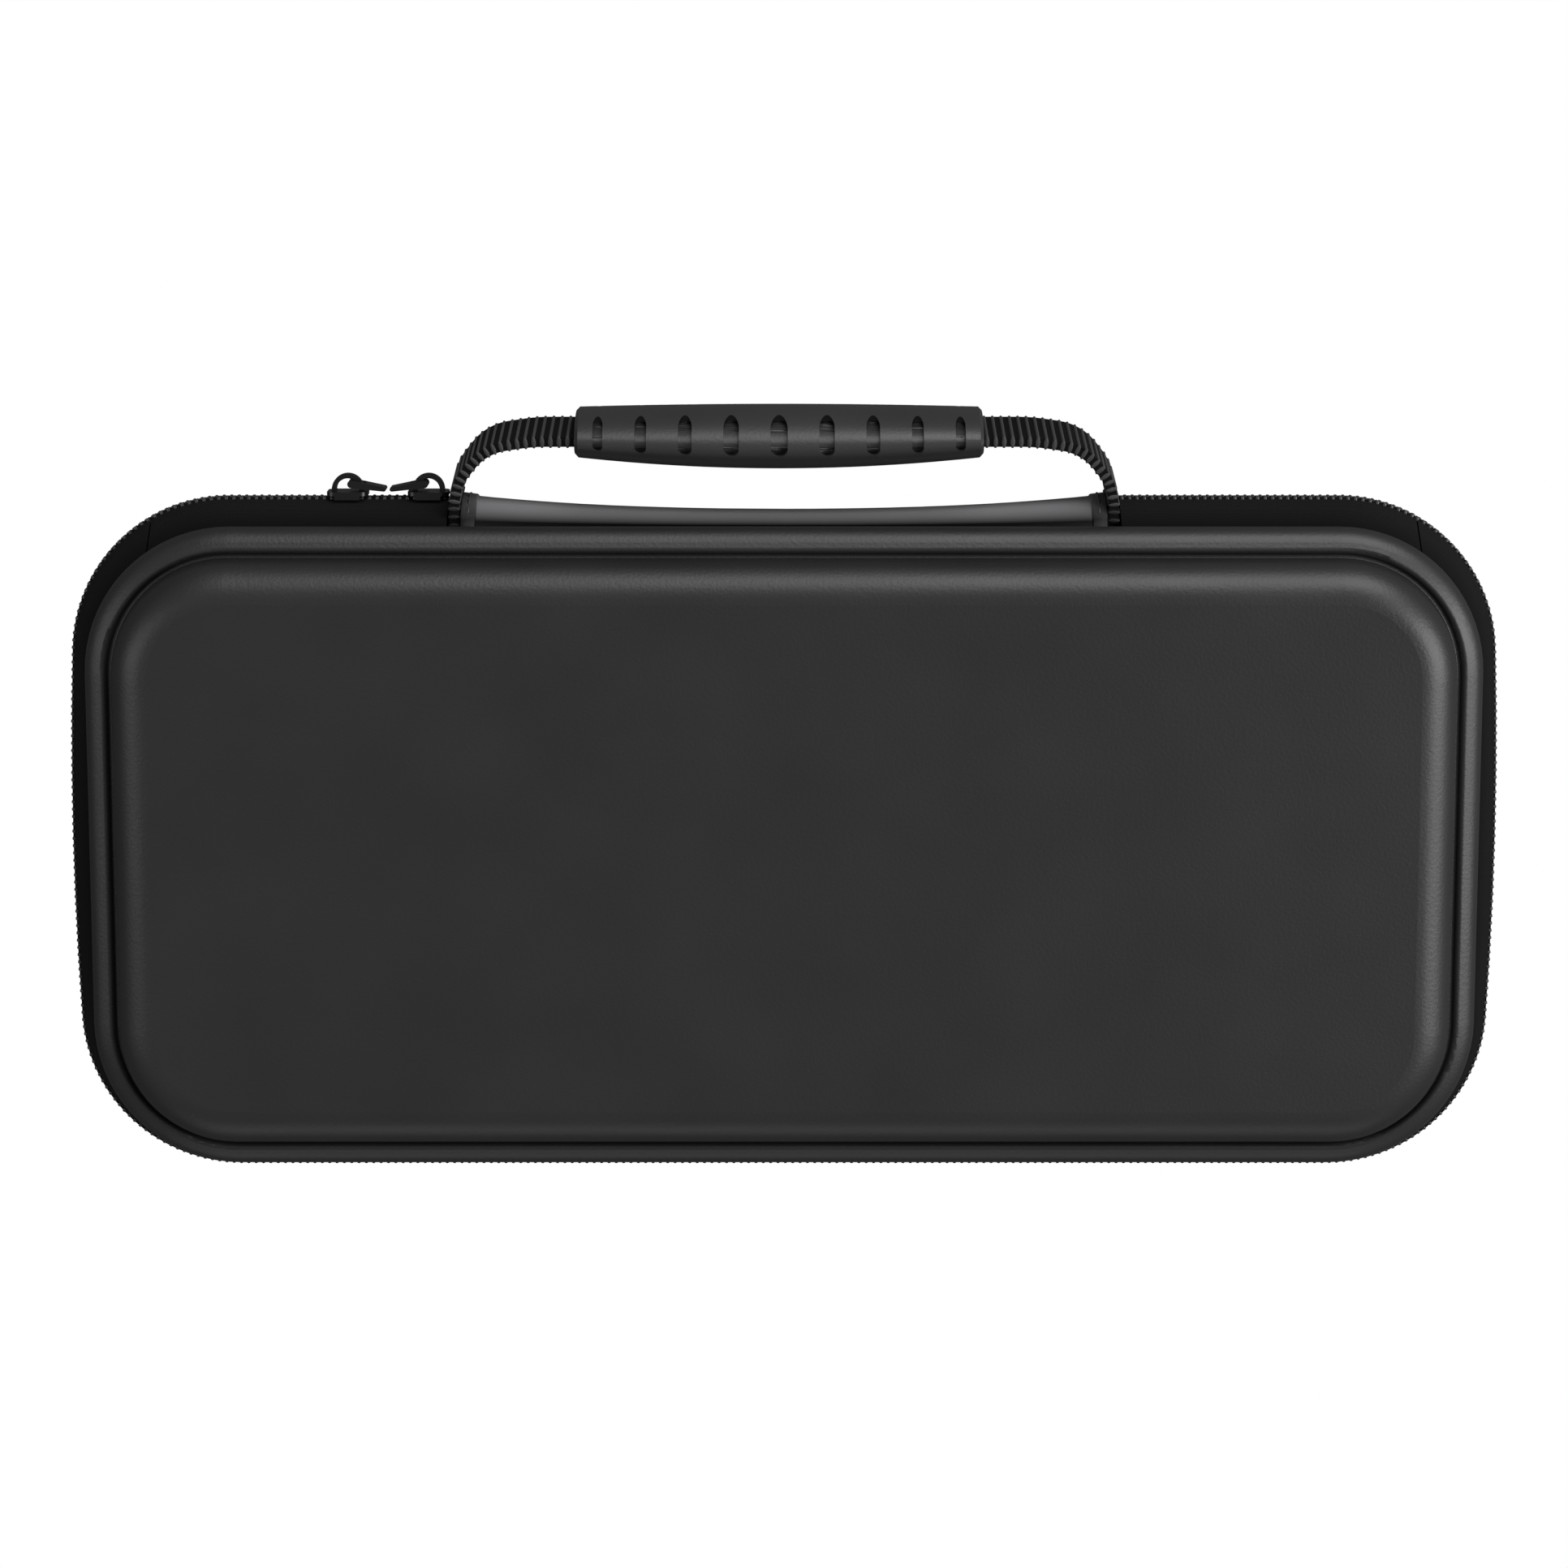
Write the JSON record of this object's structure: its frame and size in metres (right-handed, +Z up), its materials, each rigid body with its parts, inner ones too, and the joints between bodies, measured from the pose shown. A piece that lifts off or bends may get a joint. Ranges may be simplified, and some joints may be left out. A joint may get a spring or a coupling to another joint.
{
  "type": "portable game console case",
  "caption": "Oblong zipped hard case for a handheld game console: beaded moulded lid and base, hinge strip, webbing handle with a slotted grip, and a console tray and net pocket inside.",
  "frame": {"origin": "middle of the flat back panel that the case lies on", "axes": "+X along the case, +Y towards the carry handle, +Z up out of the lid"},
  "size_m": [0.2962, 0.1602, 0.055],
  "materials": {
    "moulded_skin": "fine satin-matte grain",
    "strip_skin": "satin",
    "zip_tape": "matte woven",
    "zip_coil": "satin",
    "binding": "matte woven",
    "tray_lining": "soft matte",
    "net": "matte net",
    "webbing": "matte ribbed",
    "grip_rubber": "satin",
    "slider_metal": "satin gunmetal"
  },
  "bodies": {
    "base": {"base_shell": "moulded_skin", "base_zip_tape": "zip_tape", "base_zip_coil": "zip_coil", "base_binding": "binding", "console_tray": "tray_lining"},
    "spine": {"hinge_strip": "strip_skin", "left_strip_hem": "strip_skin", "right_strip_hem": "strip_skin", "left_zip_end_tape": "zip_tape", "left_zip_end_coil": "zip_coil", "right_zip_end_tape": "zip_tape", "right_zip_end_coil": "zip_coil", "handle_webbing": "webbing", "handle_grip": "grip_rubber", "right_slider": "slider_metal"},
    "lid": {"lid_shell": "moulded_skin", "lid_zip_tape": "zip_tape", "lid_zip_coil": "zip_coil", "lid_binding": "binding", "net_pocket": "net", "net_pocket_hem": "binding"},
    "left_slider": {"left_slider": "slider_metal"},
    "left_pull": {"left_pull": "slider_metal"},
    "right_pull": {"right_pull": "slider_metal"}
  },
  "joints": [
    {"name": "spine_hinge", "type": "hinge", "parent": "base", "child": "spine", "pos_m": [0, 0.06655, 0.0155], "axis": [-1, 0, 0], "range_deg": [0, 52]},
    {"name": "lid_hinge", "type": "hinge", "parent": "spine", "child": "lid", "pos_m": [0, 0.06655, 0.0395], "axis": [-1, 0, 0], "range_deg": [0, 108]},
    {"name": "left_slider_travel", "type": "slide", "parent": "spine", "child": "left_slider", "axis": [-1, 0, 0], "range_m": [0, 0.017]},
    {"name": "left_pull_swing", "type": "hinge", "parent": "left_slider", "child": "left_pull", "pos_m": [-0.0889, 0.07385, 0.0275], "axis": [0, 0, 1], "range_deg": [0, 110]},
    {"name": "right_pull_swing", "type": "hinge", "parent": "spine", "child": "right_pull", "pos_m": [-0.0739, 0.07385, 0.0275], "axis": [0, 0, -1], "range_deg": [0, 110]}
  ]
}
